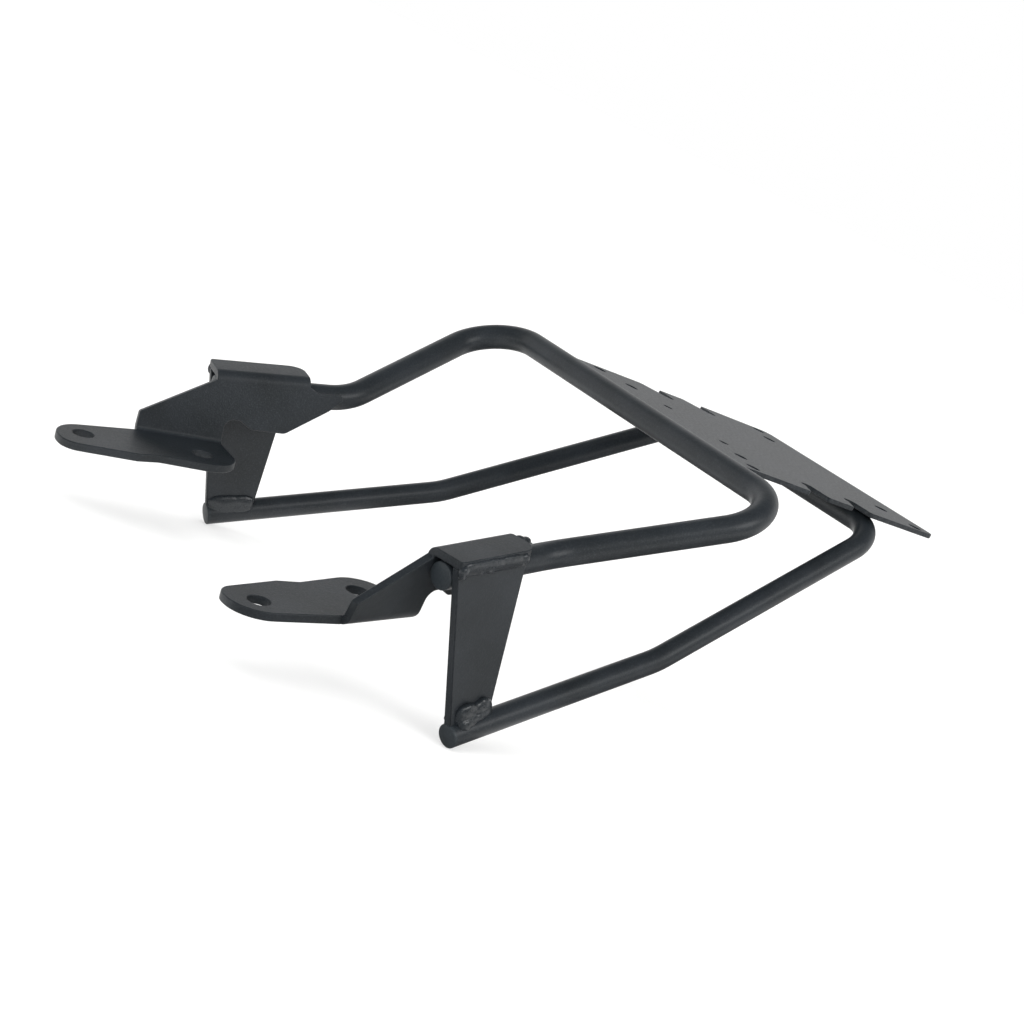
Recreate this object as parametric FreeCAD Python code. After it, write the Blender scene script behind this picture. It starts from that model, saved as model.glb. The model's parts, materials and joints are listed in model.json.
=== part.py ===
"""Motorcycle luggage rack: two bent tube hoops, a luggage plate and two folded side brackets.

Millimetres. +X is the rider's left, +Y points to the rear and +Z is up, with the plate level as
on the motorcycle. The origin is the centre of the plate's outer bolt holes, on its top face.
The left side is modelled and the right side is its mirror image in the plane X = 0.
"""
import FreeCAD
import Part
import math
import os

from FreeCAD import Vector

# Tubes
UPPER_DIAMETER = 16.0
LOWER_DIAMETER = 14.0
TUBE_WALL = 2.0
END_DISC = 2.0
DISC_EDGE_RADIUS = 0.8

# Luggage plate: the holes set its rear edge, and its side edges set the holes and notches
PLATE_THICKNESS = 3.0
PLATE_HALF_WIDTH = 93.0
PLATE_TAPER = 3.0
PLATE_REAR_MARGIN = 14.5
PLATE_CORNER_RADIUS = 7.0
PLATE_FRONT_RADIUS = 3.0

# Holes of the plate: inset from the side edge, and half the spacing along the plate
OUTER_HOLE_INSET = 9.0
OUTER_HOLE_Y = 76.0
INNER_HOLE_INSET = 33.0
INNER_HOLE_STEP = 10.0
BOLT_HOLE = 8.8
SMALL_HOLE_X = 30.5
SMALL_HOLE_Y = -56.0
SMALL_HOLE = 6.4

# Strap notches of the plate, each open to the side behind a shoulder that steps inward
NOTCH_COUNT = 2
NOTCH_FRONT_Y = -19.5
NOTCH_PITCH = 40.0
NOTCH_WIDTH = 10.0
NOTCH_DEPTH = 21.0
NOTCH_SHOULDER = 13.0
NOTCH_SHOULDER_RUN = 7.0
NOTCH_LIP_RADIUS = 2.0

# Upper hoop: rear corner of the centre line, and the depth of its cross part under the plate's top
UPPER_CORNER_X = 165.2
UPPER_CORNER_Y = -103.9
UPPER_CROSS_DROP = 6.0
UPPER_FRONT_BEND = 42.0
UPPER_REAR_BEND = 32.0

# Lower hoop: front end of the centre line in the bracket's tab frame, then its middle and rear bends
LOWER_END_X = 154.0
LOWER_END_Y = 115.46
LOWER_END_Z = -60.15
LOWER_MIDDLE_X = 127.0
LOWER_MIDDLE_Y = -118.0
LOWER_MIDDLE_Z = -119.8
LOWER_CORNER_OUTSET = 4.0
LOWER_CORNER_Y = 34.6
LOWER_MIDDLE_BEND = 70.0
LOWER_REAR_BEND = 28.0

# Folded bracket. Its tab frame has the tab's top face at height 0 and the front bolt holes at Y = 0.
SHEET = 5.0
TAB_PITCH = 11.6
TAB_FRAME_Y = -385.5
TAB_FRAME_Z = -150.9

# Tab: bolt holes, front nose, jog of the inner edge, and the rear edge measured from the fold's end
TAB_HOLE = 13.0
TAB_FRONT_HOLE_X = 117.5
TAB_REAR_HOLE_X = 98.8
TAB_REAR_HOLE_Y = 71.0
TAB_NOSE_Y = -18.0
TAB_NOSE_RADIUS = 21.0
TAB_INNER_NOSE_X = 101.9
TAB_INNER_NOSE_RADIUS = 12.0
TAB_SHOULDER = 1.7
TAB_JOG_FRONT_X = 89.6
TAB_JOG_FRONT_Y = 24.5
TAB_JOG_REAR_X = 90.2
TAB_JOG_REAR_Y = 39.0
TAB_JOG_RADIUS = 6.0
TAB_REAR_WIDTH = 44.0
TAB_REAR_SKEW = 4.4
TAB_REAR_RADIUS = 19.0

# Fold between tab and web
FOLD_START_X = 134.3
FOLD_START_Y = 42.2
FOLD_TOE = 14.4
FOLD_LENGTH = 54.0
FOLD_INNER_RADIUS = 3.0

# Web: front corner, then the relief behind the fold's end
WEB_LEAN = 10.5
WEB_FRONT_RUN = 0.5
WEB_FRONT_RISE = 11.0
WEB_FRONT_RADIUS = 2.0
RELIEF_FRONT_RISE = 15.0
RELIEF_FRONT_RADIUS = 6.0
RELIEF_TOP_RUN = 9.0
RELIEF_TOP_RISE = 15.5
RELIEF_TOP_RADIUS = 3.0
RELIEF_REAR_RUN = 17.0
RELIEF_REAR_RISE = 11.0
RELIEF_REAR_RADIUS = 5.0
WEB_LOWER_RUN = 38.7
WEB_LOWER_RISE = 12.0
WEB_LOWER_RADIUS = 6.0

# Ridge between web and flange, and the flange's outline
RIDGE_FRONT_RUN = 43.5
RIDGE_FRONT_RISE = 43.4
RIDGE_PITCH = 5.2
RIDGE_LENGTH = 59.5
RIDGE_INNER_RADIUS = 1.5
FLANGE_WIDTH = 25.0
FLANGE_FRONT_RADIUS = 2.0
FLANGE_CORNER_RADIUS = 10.0

# Wing of the web behind the ridge's end: distance behind that end and below it
WING_NOTCH_RUN = 4.4
WING_NOTCH_DROP = 7.2
WING_TOP_RUN = 7.4
WING_TOP_DROP = 8.2
WING_TOP_RADIUS = 1.0
WING_TIP_RUN = 25.6
WING_TIP_DROP = 7.0
WING_TIP_RADIUS = 2.0
WING_LOWER_RUN = 15.2
WING_LOWER_DROP = 18.1
WING_LOWER_RADIUS = 4.0

# Upper tube in the bracket: its front end, its gap under the flange, its run behind the ridge's end
TUBE_START = 1.0
TUBE_GAP = 1.2
TUBE_OVERRUN = 28.5

# Gusset: top corners from the ridge's ends, foot corners along the fold and above the tab
GUSSET_LEAN = 4.5
GUSSET_CLEARANCE = 0.5
GUSSET_TOP_LEAD = 0.5
GUSSET_TOP_INSET = 5.8
GUSSET_FOOT_FRONT = 66.0
GUSSET_FOOT_FRONT_Z = -60.0
GUSSET_FOOT_REAR = 94.5
GUSSET_FOOT_REAR_Z = -52.0
GUSSET_COPE_OVERRUN = 15.0

# Weld beads
BEAD = 3.2
FLANGE_BEAD_START = 0.5
FLANGE_BEAD_TOP = 1.0
FLANGE_BEAD_CROWN = 1.6
FLANGE_BEAD_PROUD = 3.4
FLANGE_BEAD_FOOT = 5.5
FLANGE_BEAD_TOE = 0.7
FOOT_BEAD_INSET = 3.0
TUBE_BEAD_START = 18.0
TUBE_BEAD_OVERRUN = 10.5
TUBE_BEAD_ANGLE = 48.0
TUBE_BEAD_LIFT = 0.6
PLATE_BEAD_LENGTH = 34.0
PLATE_BEAD_INSET = 31.0
PLATE_BEAD_DROP = 1.3
REAR_BEAD_INSET = 1.4

UPPER_RADIUS = UPPER_DIAMETER / 2
LOWER_RADIUS = LOWER_DIAMETER / 2
UP = Vector(0, 0, 1)
TAB_ORIGIN = Vector(0, TAB_FRAME_Y, TAB_FRAME_Z)
LOWER_END = Vector(LOWER_END_X, LOWER_END_Y, LOWER_END_Z)
LOWER_MIDDLE = Vector(LOWER_MIDDLE_X, LOWER_MIDDLE_Y, LOWER_MIDDLE_Z)
LOWER_CORNER = Vector(PLATE_HALF_WIDTH + LOWER_CORNER_OUTSET, LOWER_CORNER_Y,
                      -PLATE_THICKNESS - LOWER_RADIUS)


def turned(angle):
    """Return cosine and sine of an angle in degrees."""
    return math.cos(math.radians(angle)), math.sin(math.radians(angle))


def unit(vector):
    """Return the vector at length one."""
    return vector * (1.0 / vector.Length)


def mirror_point(point):
    """Return the point's mirror image on the right side."""
    return Vector(-point.x, point.y, point.z)


def mirrored(shape):
    """Return the shape's mirror image on the right side."""
    return shape.mirror(Vector(0, 0, 0), Vector(1, 0, 0))


def in_rack_frame(shape):
    """Move a shape from the tab frame to the rack's frame."""
    moved = shape.copy()
    moved.Placement = FreeCAD.Placement(TAB_ORIGIN, FreeCAD.Rotation(Vector(1, 0, 0), TAB_PITCH))
    return moved


def point_in_rack_frame(point):
    """Move a point from the tab frame to the rack's frame."""
    return FreeCAD.Rotation(Vector(1, 0, 0), TAB_PITCH).multVec(point) + TAB_ORIGIN


def corner_arc(before, corner, after, radius):
    """Return the start, middle and end of the arc that rounds one corner."""
    to_before = unit(before - corner)
    to_after = unit(after - corner)
    half = to_before.getAngle(to_after) / 2
    reach = radius / math.tan(half)
    inward = unit(to_before + to_after)
    middle = corner + inward * (radius / math.sin(half) - radius)
    return corner + to_before * reach, middle, corner + to_after * reach


def rounded_edges(points, radii, closed):
    """Return straight and arc edges along a row of points with rounded corners."""
    count = len(points)
    stops = []
    for i, (point, radius) in enumerate(zip(points, radii)):
        if radius > 0:
            stops.append(corner_arc(points[i - 1], point, points[(i + 1) % count], radius))
        else:
            stops.append((point, None, point))
    edges = []
    for i, (start, middle, end) in enumerate(stops):
        if middle is not None:
            edges.append(Part.Arc(start, middle, end).toShape())
        if closed or i + 1 < count:
            following = stops[(i + 1) % count][0]
            if end.distanceToPoint(following) > 1e-6:
                edges.append(Part.makeLine(end, following))
    return edges


def sheet(corners, direction):
    """Return a flat sheet: an outline of points and corner radii, extruded along a direction."""
    points = [point for point, _ in corners]
    radii = [radius for _, radius in corners]
    wire = Part.Wire(rounded_edges(points, radii, closed=True))
    return Part.Face(wire).extrude(direction)


def tube(points, radii, outer, inner):
    """Return a tube along a row of points with rounded bends, first filled and then hollow."""
    path = Part.Wire(rounded_edges(points, radii, closed=False))
    direction = unit(points[1] - points[0])
    pipes = []
    for radius in (outer, inner):
        ring = Part.Wire(Part.makeCircle(radius, points[0], direction))
        pipes.append(path.makePipe(Part.Face(ring)))
    return pipes[0], pipes[0].cut(pipes[1])


def rod(start, end, radius):
    """Return a straight round rod between two points."""
    return Part.makeCylinder(radius, start.distanceToPoint(end), start, unit(end - start))


def largest(shape):
    """Return the largest solid of a shape."""
    return max(shape.Solids, key=lambda solid: solid.Volume)


def export(name, shape):
    """Write one node's solid to its file."""
    solid = largest(shape.removeSplitter())
    solid.exportStep("parts/" + name + ".step")


class BracketFrame:
    """Directions and lines of the left bracket in the tab frame."""

    def __init__(self):
        toe_cos, toe_sin = turned(FOLD_TOE)
        lean_cos, lean_sin = turned(WEB_LEAN)
        pitch_cos, pitch_sin = turned(RIDGE_PITCH)
        self.start = Vector(FOLD_START_X, FOLD_START_Y, 0)
        self.along = Vector(-toe_sin, toe_cos, 0)
        self.outboard = Vector(toe_cos, toe_sin, 0)
        self.web_up = self.outboard * lean_sin + UP * lean_cos
        self.web_out = self.outboard * lean_cos - UP * lean_sin
        self.ridge = self.along * pitch_cos + self.web_up * pitch_sin
        self.ridge_up = self.web_up * pitch_cos - self.along * pitch_sin
        self.ridge_turn = math.degrees(math.atan2(self.ridge_up.z, -self.web_out.z))
        turn_cos, turn_sin = turned(self.ridge_turn)
        self.flange_out = self.ridge_up * turn_cos + self.web_out * turn_sin
        self.flange_up = self.ridge_up * turn_sin - self.web_out * turn_cos
        self.ridge_end_run = RIDGE_FRONT_RUN + RIDGE_LENGTH * pitch_cos
        self.ridge_end_rise = RIDGE_FRONT_RISE + RIDGE_LENGTH * pitch_sin
        self.ridge_front = self.web_point(RIDGE_FRONT_RUN, RIDGE_FRONT_RISE)
        reach = SHEET + UPPER_RADIUS
        down = self.flange_up * -(reach + TUBE_GAP)
        sideways = (reach - down.dot(self.web_out)) / self.flange_out.dot(self.web_out)
        self.tube_line = self.ridge_front + self.flange_out * sideways + down

    def web_point(self, along, up):
        """Return a point of the web's inboard face."""
        return self.start + self.along * along + self.web_up * up

    def relief_point(self, run, rise):
        """Return a point of the web's inboard face, measured along from the fold's rear end."""
        return self.web_point(FOLD_LENGTH + run, rise)

    def wing_point(self, run, drop):
        """Return a point of the web's inboard face, measured back and down from the ridge's end."""
        return self.web_point(self.ridge_end_run + run, self.ridge_end_rise - drop)

    def ridge_point(self, along, out=0.0, down=0.0):
        """Return a point measured from the ridge line along, outboard and down."""
        return (self.ridge_front + self.ridge * along + self.flange_out * out
                - self.flange_up * down)

    def tube_point(self, along):
        """Return a point of the upper tube's centre line inside the bracket."""
        return self.tube_line + self.ridge * along


def plate_corners():
    """Return the plate's outline corners with their radii, right round from the front left."""
    front = UPPER_CORNER_Y + math.sqrt(UPPER_RADIUS ** 2 - (UPPER_CROSS_DROP - PLATE_THICKNESS) ** 2)
    half = NOTCH_WIDTH / 2
    tip = PLATE_HALF_WIDTH - NOTCH_DEPTH
    lip = NOTCH_LIP_RADIUS
    side = [(PLATE_HALF_WIDTH, front, PLATE_FRONT_RADIUS)]
    for number in range(NOTCH_COUNT):
        centre = NOTCH_FRONT_Y + number * NOTCH_PITCH
        side.append((PLATE_HALF_WIDTH, centre - half - NOTCH_SHOULDER_RUN, lip))
        side.append((PLATE_HALF_WIDTH - NOTCH_SHOULDER, centre - half, lip))
        side.append((tip, centre - half, half))
        side.append((tip, centre + half, half))
        side.append((PLATE_HALF_WIDTH, centre + half, lip))
    side.append((PLATE_HALF_WIDTH - PLATE_TAPER, OUTER_HOLE_Y + PLATE_REAR_MARGIN, PLATE_CORNER_RADIUS))
    outline = side + [(-x, y, radius) for x, y, radius in reversed(side)]
    return [(Vector(x, y, 0), radius) for x, y, radius in outline]


def luggage_plate():
    """Return the luggage plate with its notches and holes."""
    plate = sheet(plate_corners(), UP * -PLATE_THICKNESS)
    holes = [(SMALL_HOLE_X, SMALL_HOLE_Y, SMALL_HOLE)]
    for end in (-1, 1):
        holes.append((PLATE_HALF_WIDTH - OUTER_HOLE_INSET, end * OUTER_HOLE_Y, BOLT_HOLE))
        inner_y = OUTER_HOLE_Y - INNER_HOLE_STEP
        holes.append((PLATE_HALF_WIDTH - INNER_HOLE_INSET, end * inner_y, BOLT_HOLE))
    for x, y, diameter in holes:
        for side in (-1, 1):
            start = Vector(side * x, y, -2 * PLATE_THICKNESS)
            plate = plate.cut(Part.makeCylinder(diameter / 2, 3 * PLATE_THICKNESS, start, UP))
    return plate


def tab_corners(fold_front, fold_rear, outboard):
    """Return the tab's outline corners with their radii, from the nose's inner corner round."""
    shoulder = fold_front + outboard * (TAB_SHOULDER / outboard.x)
    rear_inner = fold_rear - Vector(TAB_REAR_WIDTH, TAB_REAR_SKEW, 0)
    return [
        (Vector(TAB_INNER_NOSE_X, TAB_NOSE_Y, 0), TAB_INNER_NOSE_RADIUS),
        (Vector(shoulder.x, TAB_NOSE_Y, 0), TAB_NOSE_RADIUS),
        (shoulder, 0),
        (fold_front, 0),
        (fold_rear, 0),
        (rear_inner, TAB_REAR_RADIUS),
        (Vector(TAB_JOG_REAR_X, TAB_JOG_REAR_Y, 0), TAB_JOG_RADIUS),
        (Vector(TAB_JOG_FRONT_X, TAB_JOG_FRONT_Y, 0), TAB_JOG_RADIUS),
    ]


def web_corners(frame, fold_reach, tangent_front, tangent_rear):
    """Return the web's outline corners with their radii, from the fold's front end round."""
    return [
        (frame.web_point(0, fold_reach), 0),
        (frame.web_point(WEB_FRONT_RUN, WEB_FRONT_RISE), WEB_FRONT_RADIUS),
        (tangent_front, 0),
        (tangent_rear, 0),
        (frame.wing_point(WING_NOTCH_RUN, WING_NOTCH_DROP), 0),
        (frame.wing_point(WING_TOP_RUN, WING_TOP_DROP), WING_TOP_RADIUS),
        (frame.wing_point(WING_TIP_RUN, WING_TIP_DROP), WING_TIP_RADIUS),
        (frame.wing_point(WING_LOWER_RUN, WING_LOWER_DROP), WING_LOWER_RADIUS),
        (frame.relief_point(WEB_LOWER_RUN, WEB_LOWER_RISE), WEB_LOWER_RADIUS),
        (frame.relief_point(RELIEF_REAR_RUN, RELIEF_REAR_RISE), RELIEF_REAR_RADIUS),
        (frame.relief_point(RELIEF_TOP_RUN, RELIEF_TOP_RISE), RELIEF_TOP_RADIUS),
        (frame.relief_point(0, RELIEF_FRONT_RISE), RELIEF_FRONT_RADIUS),
        (frame.relief_point(0, fold_reach), 0),
    ]


def bracket(frame):
    """Return the left bracket in the tab frame: tab, fold, web, ridge and flange."""
    fold_turn = 90.0 - WEB_LEAN
    fold_reach = FOLD_INNER_RADIUS * math.tan(math.radians(fold_turn) / 2)
    ridge_reach = (RIDGE_INNER_RADIUS + SHEET) * math.tan(math.radians(frame.ridge_turn) / 2)

    fold_front = frame.start - frame.outboard * fold_reach
    fold_rear = fold_front + frame.along * FOLD_LENGTH
    tab = sheet(tab_corners(fold_front, fold_rear, frame.outboard), UP * -SHEET)
    for x, y in ((TAB_FRONT_HOLE_X, 0), (TAB_REAR_HOLE_X, TAB_REAR_HOLE_Y)):
        tab = tab.cut(Part.makeCylinder(TAB_HOLE / 2, 3 * SHEET, Vector(x, y, -2 * SHEET), UP))

    fold_end = Part.Face(Part.makePolygon([
        fold_front, fold_rear, fold_rear - UP * SHEET, fold_front - UP * SHEET, fold_front]))
    fold_centre = fold_front + UP * FOLD_INNER_RADIUS
    fold = fold_end.revolve(fold_centre, frame.along * -1, fold_turn)

    tangent_front = frame.ridge_front - frame.ridge_up * ridge_reach
    tangent_rear = tangent_front + frame.ridge * RIDGE_LENGTH
    inner = frame.web_out * SHEET
    web = sheet(web_corners(frame, fold_reach, tangent_front, tangent_rear), inner)

    ridge_end = Part.Face(Part.makePolygon([
        tangent_front, tangent_rear, tangent_rear + inner, tangent_front + inner, tangent_front]))
    ridge_centre = tangent_front + frame.web_out * (SHEET + RIDGE_INNER_RADIUS)
    ridge = ridge_end.revolve(ridge_centre, frame.ridge * -1, -frame.ridge_turn)

    flange = sheet([
        (frame.ridge_point(0, ridge_reach), 0),
        (frame.ridge_point(0, FLANGE_WIDTH), FLANGE_FRONT_RADIUS),
        (frame.ridge_point(RIDGE_LENGTH, FLANGE_WIDTH), FLANGE_CORNER_RADIUS),
        (frame.ridge_point(RIDGE_LENGTH, ridge_reach), 0),
    ], frame.flange_up * -SHEET)

    return tab.multiFuse([fold, web, ridge, flange]).removeSplitter()


def upper_points(frame):
    """Return the upper hoop's centre line points, from the left end round to the right end."""
    left = [
        point_in_rack_frame(frame.tube_point(TUBE_START + END_DISC)),
        point_in_rack_frame(frame.tube_point(RIDGE_LENGTH + TUBE_OVERRUN)),
        Vector(UPPER_CORNER_X, UPPER_CORNER_Y, -UPPER_CROSS_DROP),
    ]
    return left + [mirror_point(point) for point in reversed(left)]


def lower_points():
    """Return the lower hoop's centre line points, from the left end round to the right end."""
    end = point_in_rack_frame(LOWER_END)
    inward = unit(LOWER_MIDDLE - end)
    left = [end + inward * END_DISC, LOWER_MIDDLE, LOWER_CORNER]
    return left + [mirror_point(point) for point in reversed(left)]


def end_disc(points, radius):
    """Return the disc that closes the tube's left end."""
    outward = unit(points[0] - points[1])
    disc = Part.makeCylinder(radius, END_DISC, points[0], outward)
    rim = [edge for edge in disc.Edges
           if (edge.CenterOfMass - points[0]).dot(outward) > END_DISC * 0.9]
    return disc.makeFillet(DISC_EDGE_RADIUS, rim)


def gusset_normal(frame):
    """Return the gusset's outboard direction in the tab frame."""
    lean_cos, lean_sin = turned(GUSSET_LEAN)
    return frame.flange_out * lean_cos + frame.flange_up * lean_sin


def on_gusset(frame, start, direction, depth):
    """Return where a line meets the gusset, with the depth measured from its inner face."""
    normal = gusset_normal(frame)
    level = frame.tube_line.dot(normal) + UPPER_RADIUS + GUSSET_CLEARANCE + depth
    return start + direction * ((level - start.dot(normal)) / direction.dot(normal))


def gusset_point(frame, along, height, depth):
    """Return a point of the gusset, with the depth measured from its inner face."""
    start = frame.start + frame.along * along + UP * height
    return on_gusset(frame, start, frame.outboard, depth)


def gusset_foot():
    """Return the gusset's front and rear foot corners, along the fold and above the tab."""
    return (GUSSET_FOOT_FRONT, GUSSET_FOOT_FRONT_Z), (GUSSET_FOOT_REAR, GUSSET_FOOT_REAR_Z)


def gusset_blank(frame):
    """Return the left gusset before it is trimmed, in the tab frame."""
    front_foot, rear_foot = gusset_foot()
    corners = [
        (RIDGE_FRONT_RUN - GUSSET_TOP_LEAD, frame.ridge_point(0, FLANGE_WIDTH, SHEET / 2).z),
        (frame.ridge_end_run - GUSSET_TOP_INSET,
         frame.ridge_point(RIDGE_LENGTH, FLANGE_WIDTH, SHEET / 2).z),
        rear_foot,
        front_foot,
    ]
    outline = [(gusset_point(frame, along, height, 0), 0) for along, height in corners]
    return sheet(outline, gusset_normal(frame) * SHEET)


def flange_bead(frame, left_bracket, left_gusset):
    """Return the bead between the flange's outer edge and the gusset, in the tab frame."""
    normal = gusset_normal(frame)
    run = frame.ridge * (RIDGE_LENGTH - FLANGE_CORNER_RADIUS)
    top = frame.ridge_point(FLANGE_BEAD_START, FLANGE_WIDTH, FLANGE_BEAD_TOP)
    underside = frame.ridge_point(FLANGE_BEAD_START, 0, SHEET)
    face = on_gusset(frame, underside, frame.flange_out, SHEET)
    foot = face - frame.flange_up * FLANGE_BEAD_FOOT
    crown = frame.flange_up * FLANGE_BEAD_CROWN
    proud = normal * FLANGE_BEAD_PROUD
    inside = frame.flange_out * -SHEET
    section = [top + inside, top, face + crown + proud, face - crown + proud,
               foot + normal * FLANGE_BEAD_TOE, foot + inside]
    bead = Part.Face(Part.makePolygon(section + section[:1])).extrude(run)
    return bead.cut(left_bracket).cut(left_gusset)


def foot_bead(frame, depth, lower_solid, gusset):
    """Return a bead between the lower tube and one face of the left gusset."""
    ends = []
    axis = lower_points()
    direction = unit(axis[1] - axis[0])
    normal = point_in_rack_frame(gusset_normal(frame)) - TAB_ORIGIN
    sideways = unit(normal - direction * normal.dot(direction))
    upward = unit(sideways.cross(direction))
    upward = upward if upward.z > 0 else upward * -1
    for along, height in gusset_foot():
        spot = point_in_rack_frame(gusset_point(frame, along, height, depth))
        foot = axis[0] + direction * (spot - axis[0]).dot(direction)
        offset = (spot - foot).dot(sideways)
        rise = math.sqrt(max(LOWER_RADIUS ** 2 - offset ** 2, 0.0))
        ends.append(foot + sideways * offset + upward * rise)
    inset = unit(ends[1] - ends[0]) * FOOT_BEAD_INSET
    return rod(ends[0] + inset, ends[1] - inset, BEAD).cut(lower_solid).cut(gusset)


def tube_bead(frame, upper_solid, left_bracket):
    """Return the bead under the upper tube along the left bracket's web."""
    inboard, down = turned(TUBE_BEAD_ANGLE)
    offset = (frame.web_out * inboard + frame.web_up * down) * -(UPPER_RADIUS + TUBE_BEAD_LIFT)
    start = point_in_rack_frame(frame.tube_point(TUBE_BEAD_START) + offset)
    end = point_in_rack_frame(frame.tube_point(RIDGE_LENGTH + TUBE_BEAD_OVERRUN) + offset)
    return rod(start, end, BEAD).cut(upper_solid).cut(left_bracket)


def plate_bead(centre_x, y, tube_solid, plate):
    """Return one stitch of weld under the plate along a cross tube."""
    half = Vector(PLATE_BEAD_LENGTH / 2, 0, 0)
    middle = Vector(centre_x, y, -PLATE_THICKNESS - PLATE_BEAD_DROP)
    return rod(middle - half, middle + half, BEAD).cut(tube_solid).cut(plate)


def build():
    """Build every node and write it to its file."""
    os.makedirs("parts", exist_ok=True)
    frame = BracketFrame()

    upper = upper_points(frame)
    upper_bends = [0, UPPER_FRONT_BEND, UPPER_REAR_BEND, UPPER_REAR_BEND, UPPER_FRONT_BEND, 0]
    upper_solid, upper_tube = tube(upper, upper_bends, UPPER_RADIUS, UPPER_RADIUS - TUBE_WALL)
    lower = lower_points()
    lower_bends = [0, LOWER_MIDDLE_BEND, LOWER_REAR_BEND, LOWER_REAR_BEND, LOWER_MIDDLE_BEND, 0]
    lower_solid, lower_tube = tube(lower, lower_bends, LOWER_RADIUS, LOWER_RADIUS - TUBE_WALL)
    plate = luggage_plate()
    export("upper_hoop", upper_tube)
    export("lower_hoop", lower_tube)
    export("luggage_plate", plate)

    left_bracket = bracket(frame)
    left_gusset = gusset_blank(frame).cut(left_bracket)
    placed_bracket = in_rack_frame(left_bracket)
    overrun = unit(lower[0] - lower[1]) * GUSSET_COPE_OVERRUN
    lower_front = rod(lower[1], lower[0] + overrun, LOWER_RADIUS)
    placed_gusset = largest(in_rack_frame(left_gusset).cut(lower_front))
    left = {
        "bracket": placed_bracket,
        "gusset": placed_gusset,
        "upper_end": end_disc(upper, UPPER_RADIUS),
        "lower_end": end_disc(lower, LOWER_RADIUS),
        "flange_bead": in_rack_frame(flange_bead(frame, left_bracket, left_gusset)),
        "foot_bead_outer": foot_bead(frame, SHEET, lower_solid, placed_gusset),
        "foot_bead_inner": foot_bead(frame, 0.0, lower_solid, placed_gusset),
        "tube_bead": tube_bead(frame, upper_solid, placed_bracket),
    }
    for name, shape in left.items():
        export(name + "_left", shape)
        export(name + "_right", mirrored(shape))

    bead_x = PLATE_HALF_WIDTH - PLATE_BEAD_INSET
    front_y = UPPER_CORNER_Y + UPPER_RADIUS
    rear_y = LOWER_CORNER_Y + LOWER_RADIUS - REAR_BEAD_INSET
    for name, y, solid in (("front_bead", front_y, upper_solid), ("rear_bead", rear_y, lower_solid)):
        for number, centre in enumerate((-bead_x, 0.0, bead_x), start=1):
            export(name + "_" + str(number), plate_bead(centre, y, solid, plate))


build()
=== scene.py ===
"""Studio scene of a motorcycle luggage rack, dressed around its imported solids.

Metres, in the rack's own frame: +X is the rider's left, +Y points to the rear, +Z is up and the
luggage plate lies level. Discs and side welds are made for the left side and mirrored.
"""

import json
import logging
import math
import random
from dataclasses import dataclass
from enum import Enum
from typing import Any, Callable

import bpy
from mathutils import Matrix, Vector

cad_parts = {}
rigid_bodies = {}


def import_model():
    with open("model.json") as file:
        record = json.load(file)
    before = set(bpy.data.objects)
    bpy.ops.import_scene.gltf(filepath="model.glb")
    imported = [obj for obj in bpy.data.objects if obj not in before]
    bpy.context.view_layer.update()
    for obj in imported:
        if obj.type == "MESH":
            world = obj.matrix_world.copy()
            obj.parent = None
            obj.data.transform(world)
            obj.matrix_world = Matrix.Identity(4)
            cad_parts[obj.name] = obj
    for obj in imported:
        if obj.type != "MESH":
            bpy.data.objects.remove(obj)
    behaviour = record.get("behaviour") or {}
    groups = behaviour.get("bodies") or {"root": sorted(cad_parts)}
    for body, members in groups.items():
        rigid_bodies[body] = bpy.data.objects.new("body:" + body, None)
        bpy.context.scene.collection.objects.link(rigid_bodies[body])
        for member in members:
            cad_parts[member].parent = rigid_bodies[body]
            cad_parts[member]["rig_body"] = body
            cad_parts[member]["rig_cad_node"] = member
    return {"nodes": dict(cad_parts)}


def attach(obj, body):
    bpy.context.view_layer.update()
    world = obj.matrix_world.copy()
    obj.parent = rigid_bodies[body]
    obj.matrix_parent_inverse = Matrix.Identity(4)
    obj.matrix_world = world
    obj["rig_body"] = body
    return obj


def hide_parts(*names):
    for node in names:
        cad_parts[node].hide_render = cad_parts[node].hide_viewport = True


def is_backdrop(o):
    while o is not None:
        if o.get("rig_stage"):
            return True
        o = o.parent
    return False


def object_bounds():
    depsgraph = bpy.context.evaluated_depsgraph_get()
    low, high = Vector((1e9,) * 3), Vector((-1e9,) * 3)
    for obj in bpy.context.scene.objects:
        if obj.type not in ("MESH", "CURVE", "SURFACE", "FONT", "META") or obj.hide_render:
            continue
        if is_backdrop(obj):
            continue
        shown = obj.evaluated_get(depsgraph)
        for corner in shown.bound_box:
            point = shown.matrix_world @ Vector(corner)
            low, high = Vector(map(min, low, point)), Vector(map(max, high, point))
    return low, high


LOG = logging.getLogger("luggage_rack")
MM = 0.001
BODY = "root"

# Points closer than this are one point.
MERGE_GAP = 1e-6
WHITE = (1.0, 1.0, 1.0, 1.0)
UPWARD = Vector((0.0, 0.0, 1.0))

# Sockets of the colour mix node: its factor, its two colours and the mixed colour.
MIX_FACTOR = 0
MIX_FIRST = 6
MIX_SECOND = 7
MIX_RESULT = 2

# Directions at the left bracket: along the flange's ridge, then out from and up each sheet.
RIDGE_RUN = Vector((-0.231669, 0.931, 0.28208))
FLANGE_OUT = Vector((0.971202, 0.204766, 0.121809))
FLANGE_UP = Vector((0.020728, -0.285179, 0.95825))
WEB_OUT = Vector((0.952364, 0.276175, -0.129345))
WEB_UP = Vector((0.17651, -0.153316, 0.972285))
GUSSET_OUT = Vector((0.985302, 0.143284, 0.093007))
GUSSET_UP = Vector((-0.022966, -0.428412, 0.903292))

# The left gusset's top corner under the flange, and the gap that keeps the two faces apart.
GUSSET_TOP = Vector((0.148924, -0.303931, -0.095679))
GUSSET_TOP_GAP = 0.05 * MM

# Ease of the cut edges.
PLATE_EASE = 0.5 * MM
SHEET_EASE = 0.7 * MM

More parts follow.
